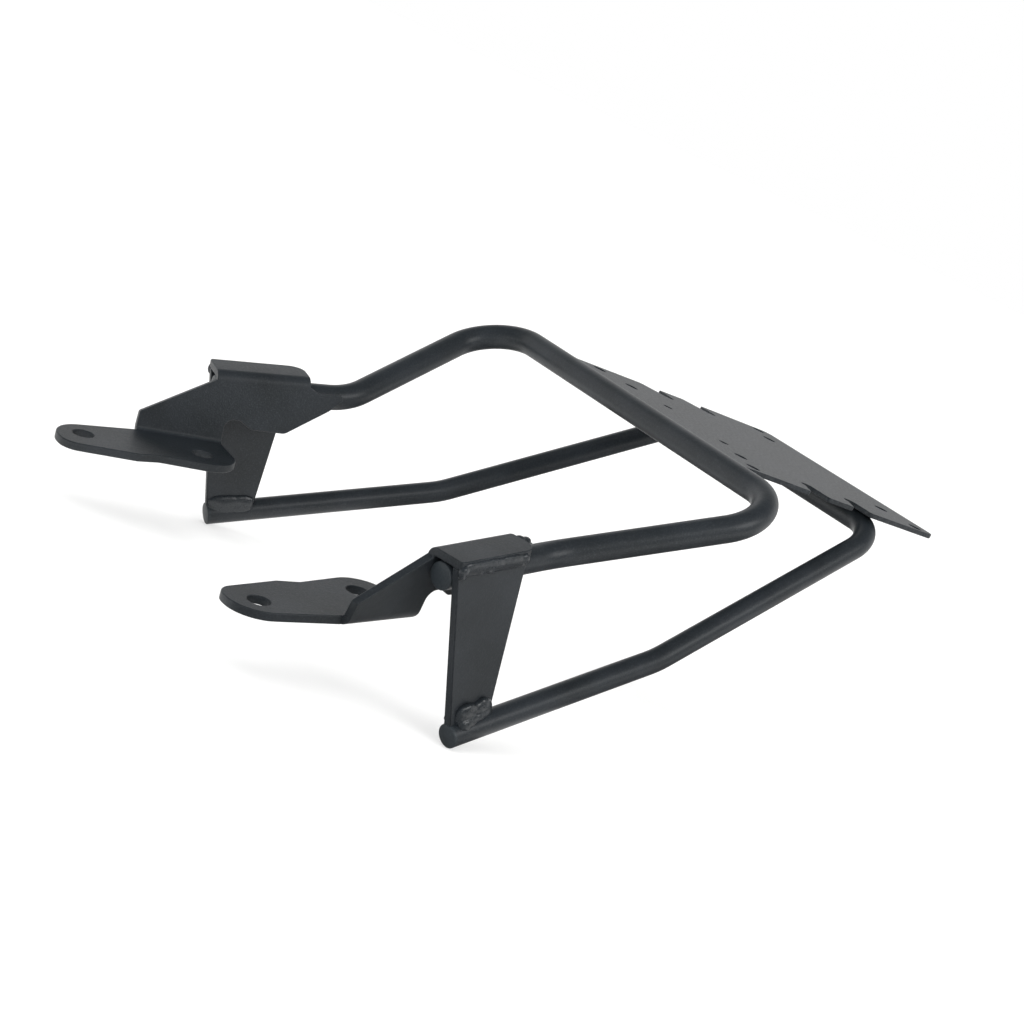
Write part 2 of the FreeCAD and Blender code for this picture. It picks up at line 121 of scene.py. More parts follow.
# Stitches below the plate: length and reach in millimetres, then their places.
STITCH_LENGTH = 34.0
STITCH_REACH = (3.0, 3.0, 3.0)
STITCH_DEPTH = 4.3 * MM
FRONT_STITCH_Y = -95.9 * MM
REAR_STITCH_Y = 40.2 * MM

# Unevenness of a hand-laid bead: size of a deposit, and how far it wanders out and up.
DEPOSIT_SIZE = (0.92, 1.08)
DEPOSIT_OUT = 0.12
DEPOSIT_UP = 0.08
# Pitch of the deposits in a groove, in millimetres.
GROOVE_PITCH = 2.6
# Pitch and half length of the long deposits that melt into a smooth band, in millimetres.
BAND_PITCH = 3.0
BAND_REACH = 9.0


class Side(Enum):
    """The two sides of the rack, by the sign of their X."""

    LEFT = 1
    RIGHT = -1

    @property
    def suffix(self) -> str:
        """Ending of the side's node names."""
        return "_left" if self is Side.LEFT else "_right"


class MeshPart(Enum):
    """The parts of a mesh that can be picked."""

    EDGE = "EDGE"
    FACE = "FACE"


def hex_colour(code: str) -> tuple[float, float, float, float]:
    """Turn an sRGB hex value into a linear colour.

    Args:
        code: Six hex digits with a leading #.

    Returns:
        Linear red, green, blue and an alpha of 1.
    """
    # The bare numbers below are those of the sRGB standard's curve.
    channels = []
    for start in (1, 3, 5):
        value = int(code[start:start + 2], 16) / 255
        low = value <= 0.04045
        channels.append(value / 12.92 if low else ((value + 0.055) / 1.055) ** 2.4)
    return (*channels, 1.0)


def bare_tree(owner: bpy.types.Material | bpy.types.World) -> bpy.types.NodeTree:
    """Give a material or world an empty node tree.

    Args:
        owner: The material or world.

    Returns:
        The empty tree.
    """
    owner.use_nodes = True
    owner.node_tree.nodes.clear()
    return owner.node_tree


def add_node(tree: bpy.types.NodeTree, kind: str, settings: dict[Any, Any] | None = None,
             links: dict[Any, bpy.types.NodeSocket] | None = None) -> bpy.types.Node:
    """Add one node with its settings and links.

    Args:
        tree: Node tree that takes the node.
        kind: Blender's type name of the node.
        settings: Input sockets or properties, with their values.
        links: Input sockets, with the output socket that feeds each.

    Returns:
        The new node.
    """
    node = tree.nodes.new(kind)
    for key, value in (settings or {}).items():
        if isinstance(key, int) or key in node.inputs:
            node.inputs[key].default_value = value
        else:
            setattr(node, key, value)
    for key, source in (links or {}).items():
        tree.links.new(source, node.inputs[key])
    return node


def noise(tree: bpy.types.NodeTree, place: bpy.types.NodeSocket, size_mm: float,
          settings: dict[str, float]) -> bpy.types.NodeSocket:
    """Add a noise whose lumps have a real size.

    Args:
        tree: Node tree that takes the node.
        place: Socket of the point on the piece.
        size_mm: Size of the lumps.
        settings: Detail of the noise.

    Returns:
        Socket of the noise.
    """
    return add_node(tree, "ShaderNodeTexNoise", {"Scale": 1 / (size_mm * MM), **settings},
                    {"Vector": place}).outputs["Fac"]


def stretch(tree: bpy.types.NodeTree, value: bpy.types.NodeSocket, taken: tuple[float, float],
            given: tuple[float, float] = (0.0, 1.0)) -> bpy.types.NodeSocket:
    """Stretch one range of a value over another.

    Args:
        tree: Node tree that takes the node.
        value: Socket of the value.
        taken: Low and high end of the range that is taken.
        given: What these ends turn into.

    Returns:
        Socket of the stretched value.
    """
    ends = {"From Min": taken[0], "From Max": taken[1], "To Min": given[0], "To Max": given[1]}
    return add_node(tree, "ShaderNodeMapRange", ends, {"Value": value}).outputs["Result"]


def seen(tree: bpy.types.NodeTree) -> bpy.types.NodeSocket:
    """Say whether a ray is one that shows the background.

    Args:
        tree: Node tree that takes the nodes.

    Returns:
        A socket that is 1 for camera, mirror and glass rays, and 0 for the rest.
    """
    path = add_node(tree, "ShaderNodeLightPath").outputs
    both = add_node(tree, "ShaderNodeMath", {"operation": "ADD"},
                    {0: path["Is Camera Ray"], 1: path["Is Glossy Ray"]}).outputs[0]
    return add_node(tree, "ShaderNodeMath", {"operation": "ADD", "use_clamp": True},
                    {0: both, 1: path["Is Transmission Ray"]}).outputs[0]


def only(obj: bpy.types.Object) -> None:
    """Select one object and make it active, with everything else deselected.

    Args:
        obj: The object that the next operators act on.
    """
    if bpy.context.object is not None and bpy.context.object.mode != "OBJECT":
        bpy.ops.object.mode_set(mode="OBJECT")
    bpy.ops.object.select_all(action="DESELECT")
    obj.select_set(True)
    bpy.context.view_layer.objects.active = obj


def pick(obj: bpy.types.Object, part: MeshPart, test: Callable[[Vector], bool]) -> None:
    """Select the edges or faces whose middle passes a test, and stay in edit mode.

    Args:
        obj: Active mesh object.
        part: Edges or faces.
        test: Says of a point whether it is wanted.
    """
    bpy.ops.object.mode_set(mode="EDIT")
    bpy.ops.mesh.select_mode(type=part.value)
    bpy.ops.mesh.select_all(action="DESELECT")
    bpy.ops.object.mode_set(mode="OBJECT")
    mesh = obj.data
    if part is MeshPart.EDGE:
        for edge in mesh.edges:
            first, second = (mesh.vertices[i].co for i in edge.vertices)
            edge.select = test((first + second) / 2)
    else:
        for face in mesh.polygons:
            face.select = test(face.center)
    bpy.ops.object.mode_set(mode="EDIT")


def apply_modifier(obj: bpy.types.Object, kind: str, settings: dict[str, Any]) -> None:
    """Add a modifier and apply it to the mesh.

    Args:
        obj: Active mesh object.
        kind: Blender's type name of the modifier.
        settings: The modifier's properties.
    """
    modifier = obj.modifiers.new(kind.title(), kind)
    for key, value in settings.items():
        setattr(modifier, key, value)
    bpy.ops.object.modifier_apply(modifier=modifier.name)


def close_up(obj: bpy.types.Object) -> None:
    """Merge doubles, turn all faces outwards and leave edit mode.

    Args:
        obj: Mesh object, which becomes the active one.
    """
    only(obj)
    bpy.ops.object.mode_set(mode="EDIT")
    bpy.ops.mesh.select_all(action="SELECT")
    bpy.ops.mesh.remove_doubles(threshold=MERGE_GAP)
    bpy.ops.mesh.normals_make_consistent(inside=False)
    bpy.ops.object.mode_set(mode="OBJECT")


def mirrored(obj: bpy.types.Object, name: str) -> bpy.types.Object:
    """Copy a finished piece to the other side of the plane X = 0, with a mesh of its own.

    Args:
        obj: Piece of the left side.
        name: Name of the copy.

    Returns:
        The mirrored copy.
    """
    only(obj)
    bpy.ops.object.duplicate()
    copy = bpy.context.object
    copy.name = name
    copy.scale = (-1.0, 1.0, 1.0)
    bpy.ops.object.transform_apply(location=True, rotation=True, scale=True)
    close_up(copy)
    return copy


def settle(obj: bpy.types.Object, coat: bpy.types.Material, nodes: tuple[str, ...]) -> None:
    """Dress a finished piece, say what it rides on, and hide the solids that it stands for.

    Args:
        obj: Finished piece at the origin.
        coat: Material of the piece.
        nodes: Solids that the piece stands for.
    """
    obj.data.materials.clear()
    obj.data.materials.append(coat)
    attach(obj, BODY)
    if nodes:
        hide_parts(*nodes)
    LOG.info("%s: %d faces", obj.name, len(obj.data.polygons))


@dataclass(frozen=True)
class PowderCoat:
    """Satin black polyester powder coat, sprayed and baked on steel.

    The baked powder leaves a fine sandy grain with a soft, broad sheen, a faint orange peel under
    it, and a tone that drifts slightly where the film is thicker.
    """

    name: str
    dark: str = "#171b1e"
    pale: str = "#1e2226"
    speck: str = "#343a3e"
    roughness_low: float = 0.40
    roughness_high: float = 0.56
    sheen_low: float = 0.34
    sheen_high: float = 0.46
    # Real grain is about 0.4 mm; it is drawn coarser here so that it shows in the render.
    grain_mm: float = 0.9
    peel_mm: float = 3.5
    drift_mm: float = 38.0
    grain_depth_mm: float = 0.07
    peel_depth_mm: float = 0.07
    # Parts of the noise that turn into tone, gloss and pale grain tips.
    drift_range: tuple[float, float] = (0.35, 0.65)
    grain_range: tuple[float, float] = (0.3, 0.7)
    tip_range: tuple[float, float] = (0.56, 0.78)
    tip_share: float = 0.4
    ior: float = 1.5

    def build(self) -> bpy.types.Material:
        """Make the material.

        Returns:
            The finished material.
        """
        material = bpy.data.materials.new(self.name)
        tree = bare_tree(material)
        place = add_node(tree, "ShaderNodeTexCoord").outputs["Object"]
        grain = noise(tree, place, self.grain_mm, {"Detail": 2.0, "Roughness": 0.55})
        peel = noise(tree, place, self.peel_mm, {"Detail": 1.0})
        drift = noise(tree, place, self.drift_mm, {"Detail": 3.0})
        tone = stretch(tree, drift, self.drift_range)
        body = add_node(tree, "ShaderNodeMix",
                        {"data_type": "RGBA", MIX_FIRST: hex_colour(self.dark),
                         MIX_SECOND: hex_colour(self.pale)},
                        {MIX_FACTOR: tone}).outputs[MIX_RESULT]
        tips = stretch(tree, grain, self.tip_range, (0.0, self.tip_share))
        colour = add_node(tree, "ShaderNodeMix",
                          {"data_type": "RGBA", MIX_SECOND: hex_colour(self.speck)},
                          {MIX_FACTOR: tips, MIX_FIRST: body}).outputs[MIX_RESULT]
        rough = stretch(tree, grain, self.grain_range, (self.roughness_low, self.roughness_high))
        sheen = stretch(tree, grain, self.grain_range, (self.sheen_low, self.sheen_high))
        wavy = add_node(tree, "ShaderNodeBump",
                        {"Strength": 1.0, "Distance": self.peel_depth_mm * MM},
                        {"Height": peel}).outputs["Normal"]
        sandy = add_node(tree, "ShaderNodeBump",
                         {"Strength": 1.0, "Distance": self.grain_depth_mm * MM},
                         {"Height": grain, "Normal": wavy}).outputs["Normal"]
        shader = add_node(tree, "ShaderNodeBsdfPrincipled", {"IOR": self.ior},
                          {"Base Color": colour, "Roughness": rough, "Normal": sandy,
                           "Specular IOR Level": sheen})
        add_node(tree, "ShaderNodeOutputMaterial", None, {"Surface": shader.outputs["BSDF"]})
        return material


# Drawn tube is smooth under the coat, so its sheen runs in clear soft lines.
TUBE_COAT = PowderCoat("satin_black_powder_coat_on_tube", roughness_low=0.34, roughness_high=0.48)
# Cut sheet shows the coat's sandy grain best.
SHEET_COAT = PowderCoat("satin_black_powder_coat_on_sheet", grain_depth_mm=0.1)
# The plate is seen along its surface, so its grain is drawn coarser still.
PLATE_COAT = PowderCoat("satin_black_powder_coat_on_plate", grain_mm=2.2, grain_depth_mm=0.22,
                        sheen_low=0.22, sheen_high=0.50)
# The tube ends get a paler base colour than the rest of the coat: painted light, standing in for
# the light they catch squarely.
PAINTED_LIGHT_DISC_COAT = PowderCoat("satin_black_powder_coat_on_disc", dark="#1f2427", pale="#272c30")
# Weld metal is round and smooth, so the coat on it glints in small spots.
WELD_COAT = PowderCoat("satin_black_powder_coat_on_weld", roughness_low=0.26, roughness_high=0.40,
                       sheen_low=0.46, sheen_high=0.62)


@dataclass(frozen=True)
class WhitePaper:
    """Matt white background paper: white to the eye, with a soft shadow left on it."""

    name: str = "matt_white_paper"
    tone: str = "#fbfbfa"
    # Share of plain white in what the camera and mirror rays see.
    whiteness: float = 0.5

    def build(self) -> bpy.types.Material:
        """Make the material.

        Returns:
            The finished material.
        """
        paper = bpy.data.materials.new(self.name)
        tree = bare_tree(paper)
        matt = add_node(tree, "ShaderNodeBsdfDiffuse", {"Color": hex_colour(self.tone)})
        glow = add_node(tree, "ShaderNodeEmission", {"Color": WHITE, "Strength": 1.0})
        share = add_node(tree, "ShaderNodeMath", {"operation": "MULTIPLY", 1: self.whiteness},
                         {0: seen(tree)}).outputs[0]
        mix = add_node(tree, "ShaderNodeMixShader", None, {
            0: share, 1: matt.outputs[0], 2: glow.outputs[0]})
        add_node(tree, "ShaderNodeOutputMaterial", None, {"Surface": mix.outputs[0]})
        return paper


@dataclass(frozen=True)
class DarkCloth:
    """Dull grey studio cloth: an even dark tone in the coat's reflections."""

    name: str
    glow: float

    def build(self) -> bpy.types.Material:
        """Make the material.

        Returns:
            The finished material.
        """
        cloth = bpy.data.materials.new(self.name)
        tree = bare_tree(cloth)
        glow = add_node(tree, "ShaderNodeEmission", {"Color": WHITE, "Strength": self.glow})
        add_node(tree, "ShaderNodeOutputMaterial", None, {"Surface": glow.outputs[0]})
        return cloth


@dataclass(frozen=True)
class Bend:
    """One rounded corner of a tube's centre line."""

    start: Vector
    centre: Vector
    axis: Vector
    angle: float

    @classmethod
    def at_corner(cls, before: Vector, corner: Vector, after: Vector, radius: float) -> "Bend":
        """Work out the arc that rounds one corner.

        Args:
            before: Point ahead of the corner.
            corner: The corner itself.
            after: Point behind the corner.
            radius: Bend radius of the centre line.

        Returns:
            The arc's start, centre, axis and angle.
        """
        back = (before - corner).normalized()
        ahead = (after - corner).normalized()
        half = back.angle(ahead) / 2
        centre = corner + (back + ahead).normalized() * (radius / math.sin(half))
        axis = ahead.cross(back).normalized()
        return cls(corner + back * (radius / math.tan(half)), centre, axis, math.pi - 2 * half)


@dataclass
class Hoop:
    """A bent tube that is open at the front, with a disc welded on each end."""

    name: str
    node: str
    diameter: float
    half_line: tuple[Vector, Vector, Vector]
    front_bend: float
    rear_bend: float
    end_name: str
    end_node: str
    disc: float = 2.0 * MM
    disc_edge: float = 0.8 * MM
    disc_edge_segments: int = 5
    # Shares of the disc's thickness beyond which an edge is its rim, and a face its cap.
    rim_share: float = 0.9
    cap_share: float = 0.998
    # The cap rises to a dome in rings, each this share of the diameter wide.
    dome: tuple[float, ...] = (0.28 * MM, 0.18 * MM, 0.1 * MM, 0.04 * MM)
    dome_ring: float = 0.1
    # Facets around the tube, and the turn of each one along a bend.
    around: int = 56
    step: float = math.radians(4.0)
    # Facets within this angle are shaded as one.
    smooth: float = math.radians(40)

    def corners(self) -> list[tuple[Vector, float]]:
        """Work out the corners of the whole centre line.

        Returns:
            The corners with their bend radii, from the left end to the right end.
        """
        end, front, rear = self.half_line
        left = [(end, 0.0), (front, self.front_bend), (rear, self.rear_bend)]
        right = [(Vector((-p.x, p.y, p.z)), radius) for p, radius in reversed(left)]
        return left + right

    def sweep(self) -> bpy.types.Object:
        """Draw the tube out of a ring: straight runs by extrusion and bends by spinning.

        Returns:
            The tube with both ends closed.
        """
        corners = self.corners()
        points = [point for point, _ in corners]
        heading = (points[1] - points[0]).normalized()
        bpy.ops.object.select_all(action="DESELECT")
        bpy.ops.mesh.primitive_circle_add(
            vertices=self.around, radius=self.diameter / 2, fill_type="NGON", location=points[0],
            rotation=heading.to_track_quat("Z", "Y").to_euler())
        tube = bpy.context.object
        tube.name = self.name
        bpy.ops.object.transform_apply(location=True, rotation=True, scale=True)
        bpy.ops.object.mode_set(mode="EDIT")
        bpy.ops.mesh.select_all(action="SELECT")
        here = points[0]
        for index in range(1, len(corners) - 1):
            arc = Bend.at_corner(points[index - 1], points[index], points[index + 1],
                                 corners[index][1])
            bpy.ops.mesh.extrude_region_move(TRANSFORM_OT_translate={"value": arc.start - here})
            steps = max(2, round(arc.angle / self.step))
            bpy.ops.mesh.spin(steps=steps, angle=-arc.angle, center=arc.centre, axis=arc.axis)
            here = arc.centre + Matrix.Rotation(arc.angle, 3, arc.axis) @ (arc.start - arc.centre)
        bpy.ops.mesh.extrude_region_move(TRANSFORM_OT_translate={"value": points[-1] - here})
        close_up(tube)
        bpy.ops.object.shade_smooth_by_angle(angle=self.smooth)
        return tube

    def end_disc(self) -> bpy.types.Object:
        """Turn the left end's disc, with a softened rim and a low dome.

        Returns:
            The disc.
        """
        end, front, _ = self.half_line
        outward = (end - front).normalized()
        bpy.ops.object.select_all(action="DESELECT")
        bpy.ops.mesh.primitive_cylinder_add(
            vertices=self.around, radius=self.diameter / 2, depth=self.disc,
            location=end + outward * (self.disc / 2),
            rotation=outward.to_track_quat("Z", "Y").to_euler())
        disc = bpy.context.object
        disc.name = self.end_name + Side.LEFT.suffix
        bpy.ops.object.transform_apply(location=True, rotation=True, scale=True)
        rim = self.disc * self.rim_share
        cap = self.disc * self.cap_share
        pick(disc, MeshPart.EDGE, lambda spot: (spot - end).dot(outward) > rim)
        bpy.ops.mesh.bevel(offset=self.disc_edge, segments=self.disc_edge_segments,
                           affect="EDGES")
        pick(disc, MeshPart.FACE, lambda spot: (spot - end).dot(outward) > cap)
        for rise in self.dome:
            bpy.ops.mesh.inset(thickness=self.diameter * self.dome_ring, depth=rise)
        close_up(disc)
        bpy.ops.object.shade_smooth_by_angle(angle=self.smooth)
        return disc

    def build(self, coat: bpy.types.Material, painted_light_disc_coat: bpy.types.Material) -> None:
        """Make and dress the tube and its two end discs.

        Args:
            coat: Material of the tube.
            painted_light_disc_coat: Material of the discs.
        """
        settle(self.sweep(), coat, (self.node,))
        left = self.end_disc()
        right = mirrored(left, self.end_name + Side.RIGHT.suffix)
        for disc, side in ((left, Side.LEFT), (right, Side.RIGHT)):
            # The discs' coat is paler: its colour carries painted light.
            settle(disc, painted_light_disc_coat, (self.end_node + side.suffix,))


@dataclass
class CutSheet:
    """A laser-cut sheet whose cut edges are eased before coating, on the lines of its solid."""

    node: str
    name: str
    ease: float
    # Point and direction of a plane, beyond which the sheet is cut off.
    trim: tuple[Vector, Vector] | None = None
    segments: int = 3
    # Facets within these angles make one flat face, and one smooth face.
    flat: float = math.radians(1.0)
    smooth: float = math.radians(30)
    # Edges sharper than this are eased.
    sharp: float = math.radians(35)

    def build(self, solid: bpy.types.Object, coat: bpy.types.Material) -> None:
        """Copy the solid, clean its faces, ease its edges and dress it.

        Args:
            solid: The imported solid.
            coat: Material of the sheet.
        """
        only(solid)
        bpy.ops.object.duplicate()
        piece = bpy.context.object
        piece.name = self.name
        piece.parent = None
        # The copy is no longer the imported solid.
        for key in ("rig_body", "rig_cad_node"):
            del piece[key]
        bpy.ops.mesh.customdata_custom_splitnormals_clear()
        bpy.ops.object.mode_set(mode="EDIT")
        bpy.ops.mesh.select_all(action="SELECT")
        bpy.ops.mesh.remove_doubles(threshold=MERGE_GAP)
        bpy.ops.mesh.dissolve_limited(angle_limit=self.flat)
        if self.trim is not None:
            point, direction = self.trim
            bpy.ops.mesh.select_all(action="SELECT")
            bpy.ops.mesh.bisect(plane_co=point, plane_no=direction, use_fill=True,
                                clear_outer=True, threshold=MERGE_GAP)
        bpy.ops.object.mode_set(mode="OBJECT")
        self.mark_outward_edges(piece.data)
        bpy.ops.object.shade_smooth_by_angle(angle=self.smooth)
        apply_modifier(piece, "BEVEL", {
            "width": self.ease, "segments": self.segments, "limit_method": "WEIGHT",
            "use_clamp_overlap": False, "loop_slide": False, "harden_normals": True})
        settle(piece, coat, (self.node,))

    def mark_outward_edges(self, mesh: bpy.types.Mesh) -> None:
        """Give a bevel weight to the sharp outward edges whose two faces leave room for it.

        Args:
            mesh: Merged mesh of the sheet.
        """
        weights = mesh.attributes.new("bevel_weight_edge", "FLOAT", "EDGE").data
        sides: dict[tuple[int, int], list[tuple[Vector, Vector, float]]] = {}
        for face in mesh.polygons:
            ring = list(face.vertices)
            for first, second in zip(ring, ring[1:] + ring[:1]):
                heading = mesh.vertices[second].co - mesh.vertices[first].co
                # A face's area over an edge's length says how wide the face is there.
                sides.setdefault((min(first, second), max(first, second)), []).append(
                    (face.normal, heading, face.area / heading.length))
        for edge in mesh.edges:
            pair = sides.get(tuple(sorted(edge.vertices)), [])
            if len(pair) == 2:
                (normal, heading, width), (other, _, other_width) = pair
                sharp = normal.angle(other, 0.0) > self.sharp
                outward = normal.cross(other).dot(heading) > 0
                roomy = min(width, other_width) > 2 * self.ease
                weights[edge.index].value = 1.0 if sharp and outward and roomy else 0.0


@dataclass(frozen=True)
class Lump:
    """One deposit of weld metal in millimetres, along, out and up from the start of its seam."""

    along: float
    out: float
    up: float
    reach: tuple[float, float, float]


@dataclass
class WeldSeam:
    """A hand-laid weld bead: overlapping deposits that flow into one body."""

    name: str
    start: Vector
    run: Vector
    out: Vector
    up: Vector
    lumps: tuple[Lump, ...]
    # Solid that the bead stands for, without its side or number.
    node: str = ""
    voxel: float = 0.45 * MM
    ripple: float = 0.4 * MM
    flow: float = 4.0 * MM
    smoothing: int = 8
    smoothing_share: float = 0.5
    drop_segments: int = 24
    drop_rings: int = 14

    def deposit(self) -> bpy.types.Object:
        """Lay the deposits and let them flow together.

        Returns:
            The bead.
        """
        turn = Matrix((self.run, self.out, self.up)).transposed().to_euler()
        drops = []
        for lump in self.lumps:
            spot = (self.start + self.run * (lump.along * MM) + self.out * (lump.out * MM)
                    + self.up * (lump.up * MM))
            bpy.ops.object.select_all(action="DESELECT")
            bpy.ops.mesh.primitive_uv_sphere_add(
                segments=self.drop_segments, ring_count=self.drop_rings, radius=MM,
                location=spot, rotation=turn, scale=lump.reach)
            drops.append(bpy.context.object)
        for drop in drops:
            drop.select_set(True)
        bpy.ops.object.join()
        bead = bpy.context.object
        bpy.ops.object.transform_apply(location=True, rotation=True, scale=True)
        apply_modifier(bead, "REMESH", {"mode": "VOXEL", "voxel_size": self.voxel})
        apply_modifier(bead, "SMOOTH", {"factor": self.smoothing_share,
                                        "iterations": self.smoothing})
        waves = bpy.data.textures.new(self.name + "_waves", "CLOUDS")
        waves.noise_scale = self.flow
        apply_modifier(bead, "DISPLACE", {"texture": waves, "texture_coords": "LOCAL",
                                          "strength": self.ripple})
        close_up(bead)
        bpy.ops.object.shade_smooth()
        return bead

    def build_pair(self, coat: bpy.types.Material) -> None:
        """Make and dress the bead on both sides.

        Args:
            coat: Material of the bead.
        """
        left = self.deposit()
        left.name = self.name + Side.LEFT.suffix
        right = mirrored(left, self.name + Side.RIGHT.suffix)
        bpy.ops.object.shade_smooth()
        for bead, side in ((left, Side.LEFT), (right, Side.RIGHT)):
            settle(bead, coat, (self.node + side.suffix,))

    def build_single(self, coat: bpy.types.Material) -> None:
        """Make and dress a bead that only the left side has, and that stands for no solid.

        Args:
            coat: Material of the bead.
        """
        bead = self.deposit()
        bead.name = self.name
        settle(bead, coat, ())

    def build_row(self, coat: bpy.types.Material, shifts: tuple[float, ...]) -> None:
        """Make one bead and repeat it across the rack.

        Args:
            coat: Material of the bead.
            shifts: Place of each bead across the rack.
        """
        first = self.deposit()
        for number, shift in enumerate(shifts, start=1):
            only(first)
            bpy.ops.object.duplicate()
            bead = bpy.context.object
            bead.name = f"{self.name}_{number}"
            bead.location.x = shift
            bpy.ops.object.transform_apply(location=True, rotation=True, scale=True)
            settle(bead, coat, (f"{self.node}_{number}",))
        bpy.data.objects.remove(first)


def even_bead(length: float, pitch: float, reach: tuple[float, float, float], seed: int,
              out: float = 0.0, up: float = 0.0) -> tuple[Lump, ...]:
    """Lay out the deposits of an even bead, in millimetres.

    Args:
        length: Length of the seam.
        pitch: Distance from one deposit to the next.
        reach: Half size of a deposit along, out and up.
        seed: Start of the bead's own row of random numbers.
        out: How far the row stands out from the seam.
        up: How far the row stands above the seam.

    Returns:
        The deposits from the start of the seam to its end.
    """
    draw = random.Random(seed)
    count = max(2, round((length - 2 * reach[0]) / pitch) + 1)
    gap = (length - 2 * reach[0]) / (count - 1)
    lumps = []
    for index in range(count):
        size = draw.uniform(*DEPOSIT_SIZE)
        lumps.append(Lump(reach[0] + gap * index,
                          out + draw.uniform(-DEPOSIT_OUT, DEPOSIT_OUT) * reach[1],
                          up + draw.uniform(-DEPOSIT_UP, DEPOSIT_UP) * reach[2],
                          tuple(half * size for half in reach)))
    return tuple(lumps)


@dataclass(frozen=True)
class Card:
    """A dark cloth that only mirror-like reflections show."""

    name: str
    place: Vector
    facing: Vector
    width: float
    height: float
    glow: float = 0.10

    def hang(self) -> None:
        """Hang the cloth in the studio."""
        cloth = DarkCloth("studio_" + self.name, self.glow).build()
        bpy.ops.object.select_all(action="DESELECT")
        bpy.ops.mesh.primitive_plane_add(
            size=1.0, location=self.place,
            rotation=self.facing.to_track_quat("Z", "Y").to_euler())
        sheet = bpy.context.object
        sheet.name = self.name
        sheet.scale = (self.width, self.height, 1.0)
        sheet.data.materials.append(cloth)
        sheet.visible_camera = False
        sheet.visible_diffuse = False
        sheet.visible_shadow = False
        sheet.visible_transmission = False
        sheet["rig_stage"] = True


@dataclass(frozen=True)
class Lamp:
    """A broad, distant light that mirror-like reflections do not show."""

    name: str
    direction: Vector
    strength: float
    spread: float
    # A distant light shines the same from any height.
    height: float = 2.0

    def add(self) -> None:
        """Add the light to the scene."""
        bpy.ops.object.select_all(action="DESELECT")
        bpy.ops.object.light_add(type="SUN", location=(0.0, 0.0, self.height),
                                 rotation=self.direction.to_track_quat("-Z", "Y").to_euler())
        light = bpy.context.object
        light.name = self.name
        light.data.energy = self.strength
        light.data.angle = self.spread
        light.visible_glossy = False


